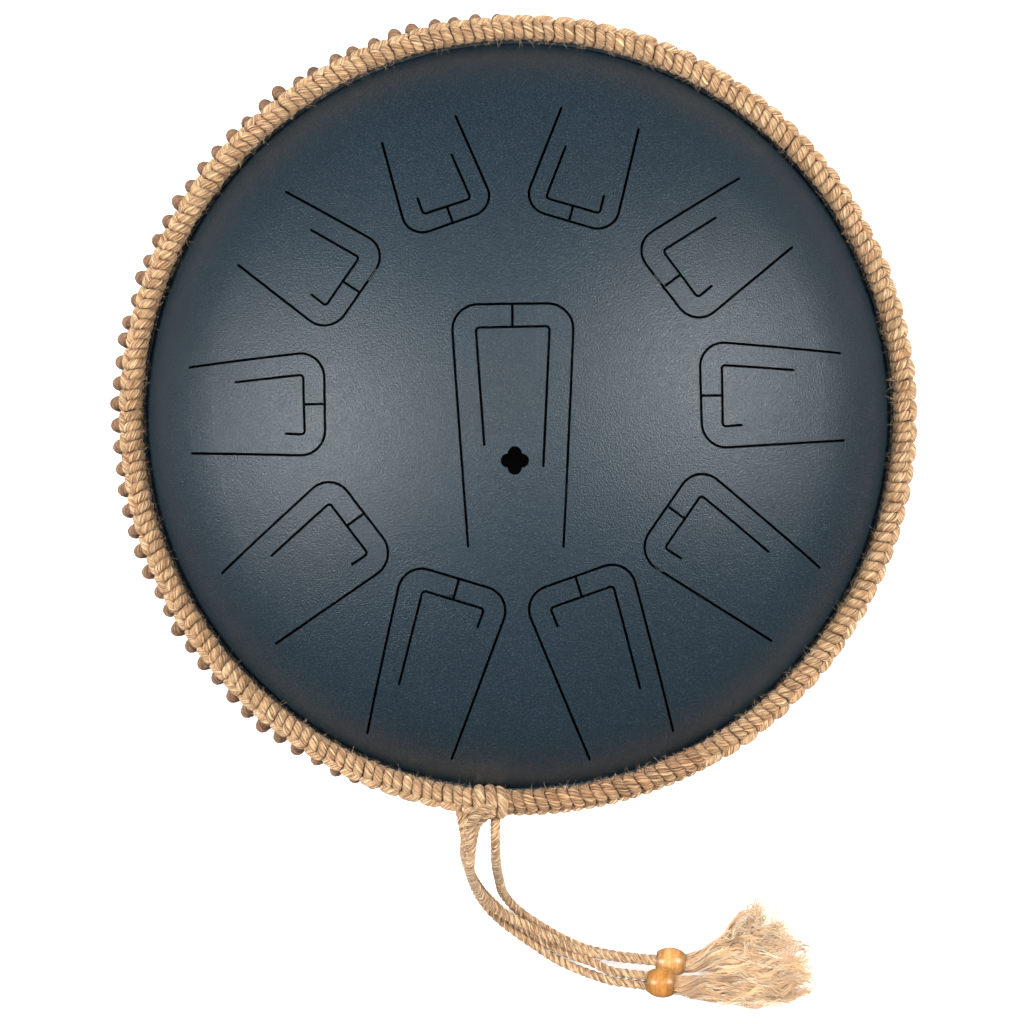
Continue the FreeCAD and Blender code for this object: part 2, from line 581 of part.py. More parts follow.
def bead(node, centre, yaw, pitch):
    cr = bead_r - bulge
    edges = [
        line((bore_r, -bead_h), (end_r, -bead_h)),
        arc((cr, 0.0), (end_r, -bead_h), (end_r, bead_h), True),
        line((end_r, bead_h), (bore_r, bead_h)),
        line((bore_r, bead_h), (bore_r, -bead_h)),
    ]
    body = revolved(node, edges, [(3, "X", "Sizes.bead_bore_radius")])
    lean = FreeCAD.Rotation(V(0, 0, 1), yaw).multiply(FreeCAD.Rotation(V(0, 1, 0), 90.0 - pitch))
    body.Placement = FreeCAD.Placement(V(*centre), lean)
    return body


bulge = ((bead_r - end_r) ** 2 + bead_h ** 2) / (2 * (bead_r - end_r))
bead("upper_bead", (71.8, -254.2, 6.85), size("bead_yaw"), 0.0)
bead("lower_bead", (66.7, -261.8, 18.2), size("bead_yaw"), size("lower_bead_pitch"))

# --------------------------------------------------------------------- tassels
# Combed-out cord ends, each one closed fan from the bead's end to its tips:
# centre x, y, z, half width, half height, heading of the strands.

FANS = {
    "upper_tassel": [(78.9, -254.95, 6.85, 4.2, 4.2, -6), (90.0, -254.2, 4.7, 5.4, 4.2, 8),
                     (103.5, -249.2, 3.7, 7.9, 3.6, 22), (115.5, -243.0, 3.2, 14.0, 3.1, 30),
                     (126.5, -237.0, 2.4, 17.5, 2.3, 33)],
    "lower_tassel": [(73.9, -262.56, 19.3, 4.2, 4.2, -6), (83.0, -264.4, 14.6, 5.6, 4.2, -8),
                     (95.0, -266.4, 6.6, 7.0, 4.6, -4), (110.0, -267.2, 4.0, 8.6, 3.9, 0),
                     (126.0, -266.2, 3.3, 9.8, 3.2, 3), (140.0, -264.6, 2.4, 8.6, 2.3, 6)],
}
for node, stations in FANS.items():
    wires = []
    for x, y, z, wide, high, heading in stations:
        a = math.radians(heading)
        forward, side = V(math.cos(a), math.sin(a), 0), V(-math.sin(a), math.cos(a), 0)
        ring = [V(x, y, z) + side * (wide * math.cos(math.radians(t))) + V(0, 0, high * math.sin(math.radians(t)))
                for t in range(0, 360, 30)]
        wires.append(Part.makePolygon(ring + [ring[0]]))
    feature = doc.addObject("Part::Feature", node)
    feature.Shape = Part.makeLoft(wires, True, True)
    keep(node, feature)

# ------------------------------------------------------------- test and write
doc.recompute()
for obj in doc.Objects:
    if "Invalid" in obj.State or "Error" in obj.State:
        raise ValueError("%s failed: %s" % (obj.Name, obj.State))
os.makedirs("parts", exist_ok=True)
for node, obj in parts.items():
    shape = obj.Shape
    if shape.isNull() or not shape.isValid():
        raise ValueError("%s has no valid shape" % node)
    if not shape.Solids or shape.Volume <= 0:
        raise ValueError("%s has no solid" % node)
    print("%-18s solids %d volume %9.1f  z %.2f..%.2f" % (
        node, len(shape.Solids), shape.Volume, shape.BoundBox.ZMin, shape.BoundBox.ZMax))
for node, obj in parts.items():
    obj.Shape.exportStep("parts/%s.step" % node)
print("%d nodes written" % len(parts))
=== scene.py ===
import math

import bpy
import numpy as np
from mathutils import Euler, Matrix, Vector


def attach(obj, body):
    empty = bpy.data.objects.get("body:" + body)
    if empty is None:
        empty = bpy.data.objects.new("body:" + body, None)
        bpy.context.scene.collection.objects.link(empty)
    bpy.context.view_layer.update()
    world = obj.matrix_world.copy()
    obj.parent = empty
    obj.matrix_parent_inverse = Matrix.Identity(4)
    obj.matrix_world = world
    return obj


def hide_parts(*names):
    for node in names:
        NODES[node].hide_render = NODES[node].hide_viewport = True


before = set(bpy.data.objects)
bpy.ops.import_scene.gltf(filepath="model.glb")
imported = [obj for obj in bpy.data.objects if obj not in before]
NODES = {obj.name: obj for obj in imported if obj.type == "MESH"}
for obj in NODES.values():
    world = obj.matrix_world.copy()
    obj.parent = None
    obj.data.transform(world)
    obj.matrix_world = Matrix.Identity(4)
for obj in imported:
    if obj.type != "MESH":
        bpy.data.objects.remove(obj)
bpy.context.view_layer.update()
SCENE = bpy.context.scene
MM = 0.001

# ------------------------------------------------------------------ camera
cam_data = bpy.data.cameras.new("front_camera")
cam_data.sensor_width = 36.0
cam_data.lens = 87.89
cam_data.clip_start = 0.05
cam_data.clip_end = 30.0
cam = bpy.data.objects.new("front_camera", cam_data)
cam.location = (-0.00264, -0.0425, 1.183)
cam.rotation_euler = (0.0, 0.0, 0.0)
SCENE.collection.objects.link(cam)
SCENE.camera = cam
SCENE.view_settings.view_transform = "Standard"
SCENE.view_settings.look = "None"
SCENE.view_settings.exposure = 0.0
SCENE.view_settings.gamma = 1.0

# ------------------------------------------------------------------ light
world = bpy.data.worlds.new("studio")
SCENE.world = world
world.use_nodes = True
world.node_tree.nodes["Background"].inputs["Color"].default_value = (1.0, 1.0, 1.0, 1.0)
world.node_tree.nodes["Background"].inputs["Strength"].default_value = 0.46
world.cycles_visibility.glossy = False


def area(name, loc, aim, w, h, watts, colour=(1.0, 1.0, 1.0), glossy=True):
    data = bpy.data.lights.new(name, "AREA")
    data.shape = "RECTANGLE"
    data.size = w
    data.size_y = h
    data.energy = watts
    data.color = colour
    ob = bpy.data.objects.new(name, data)
    ob.location = loc
    ob.rotation_euler = (Vector(aim) - Vector(loc)).to_track_quat("-Z", "Y").to_euler()
    SCENE.collection.objects.link(ob)
    ob.visible_glossy = glossy
    return ob


area("soft_left", (-1.28, -0.02, 1.24), (0.0, 0.0, 0.1), 0.46, 0.56, 31.0)
area("soft_right", (1.22, 0.26, 1.24), (0.0, 0.0, 0.1), 0.46, 0.56, 30.0)
area("soft_top", (-0.25, 1.05, 1.55), (0.0, 0.0, 0.08), 1.3, 0.7, 8.0, glossy=False)
area("soft_front", (0.25, -1.45, 1.3), (0.0, -0.1, 0.05), 1.0, 0.6, 4.0, glossy=False)
area("soft_key", (-0.12, 0.10, 2.1), (0.0, 0.0, 0.08), 0.45, 0.45, 5.0)


# ------------------------------------------------------------------ node helpers
def material(name):
    m = bpy.data.materials.new(name)
    m.use_nodes = True
    nt = m.node_tree
    nt.nodes.clear()
    out = nt.nodes.new("ShaderNodeOutputMaterial")
    bsdf = nt.nodes.new("ShaderNodeBsdfPrincipled")
    nt.links.new(bsdf.outputs["BSDF"], out.inputs["Surface"])
    return m, nt, bsdf


def node(nt, kind, **props):
    n = nt.nodes.new(kind)
    for k, v in props.items():
        setattr(n, k, v)
    return n


def coords(nt, scale, source="Object", offset=(0.0, 0.0, 0.0), attr=None, turn=None):
    if attr:
        src = node(nt, "ShaderNodeAttribute", attribute_name=attr).outputs["Vector"]
    else:
        src = node(nt, "ShaderNodeTexCoord").outputs[source]
    mp = node(nt, "ShaderNodeMapping")
    mp.inputs["Scale"].default_value = scale if isinstance(scale, (tuple, list)) else (scale,) * 3
    mp.inputs["Location"].default_value = offset
    if turn:
        mp.inputs["Rotation"].default_value = turn
    nt.links.new(src, mp.inputs["Vector"])
    return mp.outputs["Vector"]


def noise(nt, vec, scale=1.0, detail=3.0, rough=0.55, distortion=0.0):
    n = node(nt, "ShaderNodeTexNoise")
    n.inputs["Scale"].default_value = scale
    n.inputs["Detail"].default_value = detail
    n.inputs["Roughness"].default_value = rough
    n.inputs["Distortion"].default_value = distortion
    nt.links.new(vec, n.inputs["Vector"])
    return n.outputs["Fac"]


def ramp(nt, fac, stops, interpolation="LINEAR"):
    n = node(nt, "ShaderNodeValToRGB")
    cr = n.color_ramp
    cr.interpolation = interpolation
    while len(cr.elements) < len(stops):
        cr.elements.new(0.5)
    for e, (pos, col) in zip(cr.elements, stops):
        e.position = pos
        e.color = (col, col, col, 1.0) if isinstance(col, (int, float)) else tuple(col) + (1.0,)
    nt.links.new(fac, n.inputs["Fac"])
    return n.outputs["Color"]


def mapr(nt, val, a, b, c, d):
    n = node(nt, "ShaderNodeMapRange")
    for key, v in (("From Min", a), ("From Max", b), ("To Min", c), ("To Max", d)):
        n.inputs[key].default_value = v
    nt.links.new(val, n.inputs["Value"])
    return n.outputs["Result"]


def mix(nt, a, b, fac, mode="MIX"):
    n = node(nt, "ShaderNodeMix", data_type="RGBA", blend_type=mode, clamp_result=False)
    for key, v in ((0, fac), (6, a), (7, b)):
        if hasattr(v, "is_linked"):
            nt.links.new(v, n.inputs[key])
        elif isinstance(v, (int, float)):
            n.inputs[key].default_value = v if key == 0 else (v, v, v, 1.0)
        else:
            n.inputs[key].default_value = tuple(v) + (1.0,)
    return n.outputs[2]


def math_n(nt, op, a, b=None):
    n = node(nt, "ShaderNodeMath", operation=op)
    for i, v in enumerate((a, b)):
        if v is None:
            continue
        if hasattr(v, "is_linked"):
            nt.links.new(v, n.inputs[i])
        else:
            n.inputs[i].default_value = v
    return n.outputs[0]


def bump(nt, height, dist, strength=1.0, normal=None):
    n = node(nt, "ShaderNodeBump")
    n.inputs["Distance"].default_value = dist
    n.inputs["Strength"].default_value = strength
    nt.links.new(height, n.inputs["Height"])
    if normal is not None:
        nt.links.new(normal, n.inputs["Normal"])
    return n.outputs["Normal"]


def lin(r, g, b):
    f = lambda c: (c / 255.0 / 12.92) if c / 255.0 <= 0.04045 else ((c / 255.0 + 0.055) / 1.055) ** 2.4
    return (f(r), f(g), f(b))


# ------------------------------------------------------------------ materials
def shell_material(name, gain=1.0):
    m, nt, b = material(name)
    fine = noise(nt, coords(nt, 1800.0, turn=(0.62, 0.48, 0.83)), detail=1.0, rough=0.6)
    mid = noise(nt, coords(nt, 1350.0, offset=(3.1, 1.7, 0.4), turn=(0.91, 0.57, 0.35)), detail=2.0, rough=0.6)
    big = noise(nt, coords(nt, 9.0, offset=(0.3, 0.9, 2.0)), detail=2.0, rough=0.5)
    speck = noise(nt, coords(nt, 1300.0, offset=(7.0, 2.0, 5.0), turn=(0.44, 0.99, 0.71)), detail=1.0, rough=0.5)
    base_d = tuple(c * gain for c in (0.0054, 0.0138, 0.0218))
    base_l = tuple(c * gain for c in (0.0152, 0.0308, 0.0430))
    col = mix(nt, base_d, base_l, mapr(nt, mid, 0.3, 0.7, 0.12, 0.88))
    col = mix(nt, col, tuple(c * gain for c in (0.060, 0.075, 0.088)), ramp(nt, speck, [(0.56, 0.0), (0.74, 0.45)]))
    col = mix(nt, col, mapr_rgb(nt, big, 0.35, 0.65, 0.92, 1.08), 1.0, "MULTIPLY")
    nt.links.new(col, b.inputs["Base Color"])
    rough = mapr(nt, fine, 0.3, 0.7, 0.34, 0.46)
    nt.links.new(rough, b.inputs["Roughness"])
    b.inputs["Metallic"].default_value = 0.0
    b.inputs["Specular IOR Level"].default_value = 0.60
    n1 = bump(nt, fine, 0.00022, 0.6)
    n2 = bump(nt, mid, 0.00042, 0.7, n1)
    nt.links.new(n2, b.inputs["Normal"])
    return m


def mapr_rgb(nt, val, a, b, c, d):
    v = mapr(nt, val, a, b, c, d)
    n = node(nt, "ShaderNodeCombineColor")
    for i in range(3):
        nt.links.new(v, n.inputs[i])
    return n.outputs[0]


def jute_material(name, dark, mid, light, yarns=6, line=0.34, bumpy=1.2, hairs=2100.0, painted_groove_shade=0.62, flecked=0.85):
    """Twisted plant-fibre cord: yarns and fibres run with the lay stored on the mesh as a vector."""
    m, nt, b = material(name)
    fibres = noise(nt, coords(nt, (230.0, hairs, hairs), attr="lay"), detail=3.0, rough=0.66, distortion=0.2)
    clump = noise(nt, coords(nt, (140.0, 820.0, 820.0), attr="lay", offset=(2.0, 5.0, 1.0)), detail=2.0, rough=0.5)
    patch = noise(nt, coords(nt, (45.0, 60.0, 60.0), attr="lay", offset=(9.0, 3.0, 7.0)), detail=2.0, rough=0.5)
    ply = node(nt, "ShaderNodeAttribute", attribute_name="ply").outputs["Fac"]
    sep = node(nt, "ShaderNodeSeparateXYZ")
    nt.links.new(node(nt, "ShaderNodeAttribute", attribute_name="lay").outputs["Vector"], sep.inputs[0])
    ang = math_n(nt, "ARCTAN2", sep.outputs["Z"], sep.outputs["Y"])
    wav = math_n(nt, "MULTIPLY", math_n(nt, "SUBTRACT", clump, 0.5), 6.0)
    yarn = math_n(nt, "COSINE", math_n(nt, "ADD", math_n(nt, "MULTIPLY", ang, float(yarns)), wav))
    f1 = mapr(nt, fibres, 0.36, 0.64, 0.0, 1.0)
    f2 = mapr(nt, yarn, -1.0, 1.0, 0.0, 1.0)
    # The yarn stripes (weight line) lighten the yarn crowns and darken the lines between yarns: painted shade of the
    # yarn relief, laid over the fibres' own random tone. The same mix drives the bump.
    both = math_n(nt, "ADD", math_n(nt, "MULTIPLY", f1, 1.0 - line), math_n(nt, "MULTIPLY", f2, line))
    col = ramp(nt, both, [(0.08, dark), (0.40, mid), (0.88, light)])
    # Darker where the ply attribute is low, in the grooves between the plies: painted shade in the creases of the cord.
    col = mix(nt, col, mapr_rgb(nt, ply, -1.0, 0.1, painted_groove_shade, 1.0), 1.0, "MULTIPLY")
    col = mix(nt, col, mapr_rgb(nt, patch, 0.3, 0.7, 0.80, 1.16), 1.0, "MULTIPLY")
    flecks = noise(nt, coords(nt, (620.0, 1150.0, 1150.0), attr="lay", offset=(5.0, 8.0, 3.0)), detail=1.0, rough=0.5)
    col = mix(nt, col, ramp(nt, flecks, [(0.36, (0.56, 0.44, 0.34)), (0.50, (0.98, 0.96, 0.93)), (0.66, (1.14, 1.12, 1.08))]), flecked, "MULTIPLY")
    nt.links.new(col, b.inputs["Base Color"])
    b.inputs["Roughness"].default_value = 0.80
    b.inputs["Specular IOR Level"].default_value = 0.30
    b.inputs["Sheen Weight"].default_value = 0.12
    b.inputs["Sheen Roughness"].default_value = 0.5
    nt.links.new(bump(nt, both, 0.00060 * bumpy, 0.9), b.inputs["Normal"])
    return m


DARK, MID, LIGHT = (0.165, 0.062, 0.020), (0.610, 0.325, 0.143), (1.000, 0.770, 0.480)
M_JUTE = jute_material("jute_wrap", DARK, MID, LIGHT)
M_WHIP = jute_material("jute_whipping", (0.110, 0.042, 0.014), (0.430, 0.205, 0.082), (0.980, 0.660, 0.370))
# The lower row is the same jute at about half the brightness: painted shade for the row that sits under the upper one.
M_LOW_PAINTED_SHADE = jute_material("jute_lower_row_painted_shade", (0.085, 0.034, 0.012), (0.275, 0.130, 0.052), (0.500, 0.285, 0.138))
M_TAIL = jute_material("jute_tail", (0.230, 0.115, 0.052), (0.560, 0.340, 0.180), (0.900, 0.660, 0.410), bumpy=0.7, line=0.18, painted_groove_shade=0.50, hairs=1500.0)
M_LACE = jute_material("jute_lacing", (0.190, 0.074, 0.026), (0.660, 0.365, 0.168), (1.000, 0.800, 0.520), line=0.20, bumpy=0.9)
M_CORE = jute_material("core_line", (0.080, 0.040, 0.020), (0.220, 0.120, 0.060), (0.400, 0.240, 0.130))


def fibre_material(name, tint, root=False):
    m, nt, b = material(name)
    tone = noise(nt, coords(nt, (24.0, 900.0, 900.0), attr="lay"), detail=2.0, rough=0.5)
    col = ramp(nt, tone, [
        (0.30, tuple(c * 0.40 for c in tint)),
        (0.50, tint),
        (0.70, tuple(min(1.0, c * 1.40) for c in tint)),
    ])
    if root:
        sx = node(nt, "ShaderNodeSeparateXYZ")
        nt.links.new(node(nt, "ShaderNodeTexCoord").outputs["Object"], sx.inputs[0])
        shade = ramp(nt, mapr(nt, sx.outputs["X"], 0.074, 0.110, 0.0, 1.0), [(0.0, (0.60, 0.52, 0.46)), (0.35, (0.76, 0.70, 0.66)), (1.0, (1.0, 1.0, 1.0))])
        col = mix(nt, col, shade, 1.0, "MULTIPLY")
    nt.links.new(col, b.inputs["Base Color"])
    b.inputs["Roughness"].default_value = 0.62
    b.inputs["Specular IOR Level"].default_value = 0.32
    b.inputs["Sheen Weight"].default_value = 0.25
    h = noise(nt, coords(nt, (300.0, 3000.0, 3000.0), attr="lay", offset=(4.0, 4.0, 4.0)), detail=2.0)
    nt.links.new(bump(nt, h, 0.0001, 0.5), b.inputs["Normal"])
    return m


M_FIBRE = fibre_material("jute_fibre_frayed", (0.600, 0.385, 0.212), True)
M_FIBRE_PALE = fibre_material("jute_fibre_pale", (0.840, 0.640, 0.430), True)
M_FUZZ = fibre_material("jute_fibre_loose", (0.700, 0.470, 0.260))


def wood_material(name, dark, light, seed):
    m, nt, b = material(name)
    src = coords(nt, (760.0, 130.0, 130.0), offset=(seed, seed * 0.7, seed * 0.3))
    grain = noise(nt, src, detail=4.0, rough=0.6, distortion=0.4)
    ring = node(nt, "ShaderNodeTexWave", wave_type="RINGS", rings_direction="Y")
    ring.inputs["Scale"].default_value = 1.0
    ring.inputs["Distortion"].default_value = 4.0
    ring.inputs["Detail"].default_value = 2.0
    ring.inputs["Detail Scale"].default_value = 1.2
    nt.links.new(coords(nt, (110.0, 150.0, 330.0), offset=(seed, 0.4, 0.2)), ring.inputs["Vector"])
    f = mix(nt, mapr_rgb(nt, grain, 0.25, 0.75, 0.0, 1.0), ring.outputs["Color"], 0.16)
    col = ramp(nt, f, [(0.15, dark), (0.72, light)])
    sx = node(nt, "ShaderNodeSeparateXYZ")
    nt.links.new(node(nt, "ShaderNodeTexCoord").outputs["Object"], sx.inputs[0])
    # Colour darkens towards both bore ends, down to 0.52 at |x| 6.6 mm: painted shade on the rounded ends of the bead.
    ends = mapr(nt, math_n(nt, "ABSOLUTE", sx.outputs["X"]), 0.0022, 0.0066, 1.0, 0.52)
    col = mix(nt, col, mapr_rgb(nt, ends, 0.0, 1.0, 0.0, 1.0), 1.0, "MULTIPLY")
    nt.links.new(col, b.inputs["Base Color"])
    nt.links.new(mapr(nt, grain, 0.3, 0.7, 0.34, 0.44), b.inputs["Roughness"])
    b.inputs["Coat Weight"].default_value = 0.55
    b.inputs["Coat Roughness"].default_value = 0.33
    b.inputs["Specular IOR Level"].default_value = 0.40
    nt.links.new(bump(nt, grain, 0.00006, 0.5), b.inputs["Normal"])
    return m


M_BEAD1 = wood_material("bead_varnished_light", (0.440, 0.185, 0.040), (0.690, 0.360, 0.118), 1.3)
M_BEAD2 = wood_material("bead_varnished_amber", (0.345, 0.125, 0.020), (0.530, 0.235, 0.050), 4.1)

M_SHELL = shell_material("powder_coat_blue_grey")
M_SHELL_LOW = shell_material("powder_coat_blue_grey_lower")


def simple_speckled(name, a, c, rough, metallic, scale, bump_d, spec=0.5):
    m, nt, b = material(name)
    n1 = noise(nt, coords(nt, scale), detail=4.0, rough=0.6)
    n2 = noise(nt, coords(nt, scale * 0.12, offset=(1.0, 2.0, 3.0)), detail=2.0)
    col = ramp(nt, n1, [(0.3, a), (0.7, c)])
    col = mix(nt, col, mapr_rgb(nt, n2, 0.3, 0.7, 0.85, 1.12), 1.0, "MULTIPLY")
    nt.links.new(col, b.inputs["Base Color"])
    nt.links.new(mapr(nt, n1, 0.3, 0.7, rough - 0.07, rough + 0.07), b.inputs["Roughness"])
    b.inputs["Metallic"].default_value = metallic
    b.inputs["Specular IOR Level"].default_value = spec
    nt.links.new(bump(nt, n1, bump_d, 0.6), b.inputs["Normal"])
    return m


# The adhesive is the shell's blue-grey at about three times its brightness: painted light that lifts the shaded groove
# between dome and rope.
M_BOND_PAINTED_LIGHT = simple_speckled("rim_adhesive_painted_light", (0.028, 0.048, 0.068), (0.062, 0.092, 0.120), 0.42, 0.0, 900.0, 0.0002, 0.4)
M_RUBBER = simple_speckled("foot_rubber", (0.010, 0.010, 0.010), (0.026, 0.026, 0.027), 0.78, 0.0, 1400.0, 0.00015, 0.35)
M_STEEL = simple_speckled("zinc_steel", (0.42, 0.42, 0.41), (0.62, 0.62, 0.60), 0.34, 1.0, 1100.0, 0.00004)

for names, mat in (
    (("upper_shell",), M_SHELL),
    (("lower_shell",), M_SHELL_LOW),
    (("rim_bond",), M_BOND_PAINTED_LIGHT),
    (("foot_front_left", "foot_front_right", "foot_back_left", "foot_back_right"), M_RUBBER),
    (("foot_screws", "foot_washers", "foot_nuts"), M_STEEL),
):
    for n in names:
        data = NODES[n].data
        if not data.materials:
            data.materials.append(mat)
        for i in range(len(data.materials)):
            data.materials[i] = mat


# ------------------------------------------------------------------ tube building
def unit(v):
    return v / np.maximum(np.linalg.norm(v, axis=-1, keepdims=True), 1e-12)


def tangents(p):
    return unit(np.gradient(p, axis=0))


def transported(p, t):
    """Rotation-minimising side vectors along an open line."""
    n = np.zeros_like(p)
    a = np.array([0.0, 0.0, 1.0]) if abs(t[0][2]) < 0.9 else np.array([1.0, 0.0, 0.0])
    v = a - t[0] * a.dot(t[0])
    n[0] = v / np.linalg.norm(v)
    for i in range(1, len(p)):
        v = n[i - 1] - t[i] * n[i - 1].dot(t[i])
        n[i] = v / np.linalg.norm(v)
    return n


def tube(p, radius, sides, lay=None, sense=1.0, phase=0.0, side=None, lobes=3, depth=0.1, start=0.0, squash=None, caps=True):
    """Vertices, faces and cord coordinates of a twisted cord along the points p (metres)."""
    k = len(p)
    t = tangents(p)
    if side is None:
        n1 = transported(p, t)
    else:
        n1 = unit(side - t * np.sum(side * t, axis=1, keepdims=True))
    n2 = np.cross(t, n1)
    s = np.concatenate([[0.0], np.cumsum(np.linalg.norm(np.diff(p, axis=0), axis=1))]) + start
    r = np.full(k, radius) if np.isscalar(radius) else np.asarray(radius)
    th = 2 * math.pi * np.arange(sides) / sides
    turn = (2 * math.pi / lay * sense) if lay else 0.0
    mt = th[None, :] - turn * s[:, None] + phase
    c = np.cos(lobes * mt)
    rr = r[:, None] * (1.0 + depth * c)
    a1 = np.cos(th)[None, :]
    a2 = np.sin(th)[None, :]
    if squash is not None:
        a1 = a1 * squash[0]
        a2 = a2 * squash[1]
    v = p[:, None, :] + (rr * a1)[:, :, None] * n1[:, None, :] + (rr * a2)[:, :, None] * n2[:, None, :]
    i = np.arange(k - 1)[:, None] * sides
    j = np.arange(sides)[None, :]
    j2 = (j + 1) % sides
    quads = np.stack([i + j, i + j2, i + sides + j2, i + sides + j], axis=-1).reshape(-1, 4)
    layv = np.stack([
        np.broadcast_to(s[:, None], (k, sides)),
        r[:, None] * np.cos(mt),
        r[:, None] * np.sin(mt),
    ], axis=-1)
    verts = v.reshape(-1, 3)
    layv = layv.reshape(-1, 3)
    ply = c.reshape(-1)
    if caps:
        ends = np.array([p[0], p[-1]])
        base = len(verts)
        verts = np.vstack([verts, ends])
        layv = np.vstack([layv, [[s[0], 0, 0], [s[-1], 0, 0]]])
        ply = np.concatenate([ply, [0.0, 0.0]])
        jj = np.arange(sides)
        jn = (jj + 1) % sides
        t0 = np.stack([np.full(sides, base), jn, jj], axis=-1)
        t1 = np.stack([np.full(sides, base + 1), (k - 1) * sides + jj, (k - 1) * sides + jn], axis=-1)
        return verts, quads, np.vstack([t0, t1]), layv, ply
    return verts, quads, np.zeros((0, 3), int), layv, ply


def build(name, parts, mat):
    """One mesh object out of many tubes."""
    vs, qs, ts, ls, ps = [], [], [], [], []
    off = 0
    for v, q, t, l, p in parts:
        vs.append(v)
        qs.append(q + off)
        ts.append(t + off)
        ls.append(l)
        ps.append(p)
        off += len(v)
    v = np.vstack(vs)
    q = np.vstack(qs)
    t = np.vstack(ts)
    me = bpy.data.meshes.new(name)
    me.vertices.add(len(v))
    me.vertices.foreach_set("co", v.astype(np.float32).ravel())
    loops = np.concatenate([q.ravel(), t.ravel()]).astype(np.int32)
    starts = np.concatenate([np.arange(len(q)) * 4, len(q) * 4 + np.arange(len(t)) * 3]).astype(np.int32)
    me.loops.add(len(loops))
    me.loops.foreach_set("vertex_index", loops)
    me.polygons.add(len(starts))
    me.polygons.foreach_set("loop_start", starts)
    me.update(calc_edges=True)
    me.validate()
    me.polygons.foreach_set("use_smooth", np.ones(len(me.polygons), bool))
    a = me.attributes.new("lay", "FLOAT_VECTOR", "POINT")
    a.data.foreach_set("vector", np.vstack(ls).astype(np.float32).ravel())
    a = me.attributes.new("ply", "FLOAT", "POINT")
    a.data.foreach_set("value", np.concatenate(ps).astype(np.float32))
    me.materials.append(mat)
    ob = bpy.data.objects.new(name, me)
    SCENE.collection.objects.link(ob)
    return ob


def smooth(x):
    x = np.clip(x, 0.0, 1.0)
    return x * x * (3 - 2 * x)


# ------------------------------------------------------------------ tail cords
ROUTES = {
    "tail_cord_1": [(-0.0198, -0.1776, 0.0882), (-0.0206, -0.1932, 0.0846), (-0.0220, -0.2042, 0.0608), (-0.0186, -0.2164, 0.0346), (-0.0110, -0.2282, 0.0146), (0.0035, -0.2366, 0.0069), (0.0275, -0.2490, 0.0066), (0.0465, -0.25154, 0.00905), (0.0534, -0.25227, 0.00905), (0.07866, -0.25492, 0.00905)],
    "tail_cord_2": [(-0.0210, -0.1773, 0.0836), (-0.0220, -0.1900, 0.0795), (-0.0232, -0.2000, 0.0580), (-0.0205, -0.2120, 0.0320), (-0.0140, -0.2240, 0.0110), (-0.0024, -0.2357, 0.0024), (0.0210, -0.2505, 0.0024), (0.0340, -0.2531, 0.0090), (0.0428, -0.25708, 0.01479), (0.0487, -0.2577, 0.01562), (0.0737, -0.2603, 0.01916)],
    "tail_cord_3": [(-0.0222, -0.1773, 0.0788), (-0.0234, -0.1885, 0.0720), (-0.0244, -0.1976, 0.0523), (-0.0226, -0.2074, 0.0296), (-0.0190, -0.2228, 0.0065), (-0.0092, -0.2350, 0.0024), (0.0074, -0.2467, 0.0024), (0.0211, -0.2558, 0.0024), (0.0424, -0.26147, 0.01479), (0.04825, -0.26208, 0.01562), (0.0733, -0.2647, 0.01916)],
    "tail_cord_4": [(-0.0099, -0.1776, 0.0850), (-0.0101, -0.1915, 0.0820), (-0.0095, -0.2030, 0.0590), (-0.0083, -0.2125, 0.0330), (-0.0072, -0.2215, 0.0115), (0.0015, -0.2325, 0.0024), (0.0277, -0.2480, 0.0024), (0.0465, -0.25154, 0.00465), (0.0534, -0.25227, 0.00465), (0.07866, -0.25492, 0.00465)],
}


def route_points(name, pts, resolution=24):
    cu = bpy.data.curves.new(name + "_route", "CURVE")
    cu.dimensions = "3D"
    sp = cu.splines.new("NURBS")
    sp.points.add(len(pts) - 1)
    for q, p in zip(sp.points, pts):
        q.co = (p[0], p[1], p[2], 1.0)
    sp.order_u = 3
    sp.use_endpoint_u = True
    sp.resolution_u = resolution
    ob = bpy.data.objects.new(name + "_route", cu)
    SCENE.collection.objects.link(ob)
    me = bpy.data.meshes.new_from_object(ob)
    out = np.array([v.co[:] for v in me.vertices], float)
    bpy.data.objects.remove(ob)
    bpy.data.meshes.remove(me)
    bpy.data.curves.remove(cu)
    return out


LINES = {n: route_points(n, p) for n, p in ROUTES.items()}
for i, (n, line) in enumerate(LINES.items()):
    part = tube(line, 0.00206, 18, lay=0.0112, sense=1.0, phase=0.9 * i, depth=0.115, start=0.37 * (i + 1))
    ob = build("cord_" + n[-1], [part], M_TAIL)
    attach(ob, "drum")
    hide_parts(n)

# ------------------------------------------------------------------ rope rim
rng = np.random.default_rng(20240611)
RIM_R = 169.4 * MM          # the wrapped rows follow circles of this radius
UP_Z = 85.0 * MM
LOW_Z = 70.7 * MM
DEG = math.pi / 180.0
PAIR = 3.04 * DEG           # one pair of turns
PAIRS_FROM, PAIRS_TO = -62.0 * DEG, (360.0 - 95.2) * DEG


def on_ring(phi, psi, rho_r, rho_z, zc, rc=RIM_R):
    """Point at ring angle phi on a section circle: psi 0 outward, 90 up, 180 inward."""
    r = rc + rho_r * np.cos(psi)
    return np.stack([r * np.cos(phi), r * np.sin(phi), zc + rho_z * np.sin(psi)], axis=-1)


def ring_side(phi):
    return np.stack([-np.sin(phi), np.cos(phi), np.zeros_like(phi)], axis=-1)


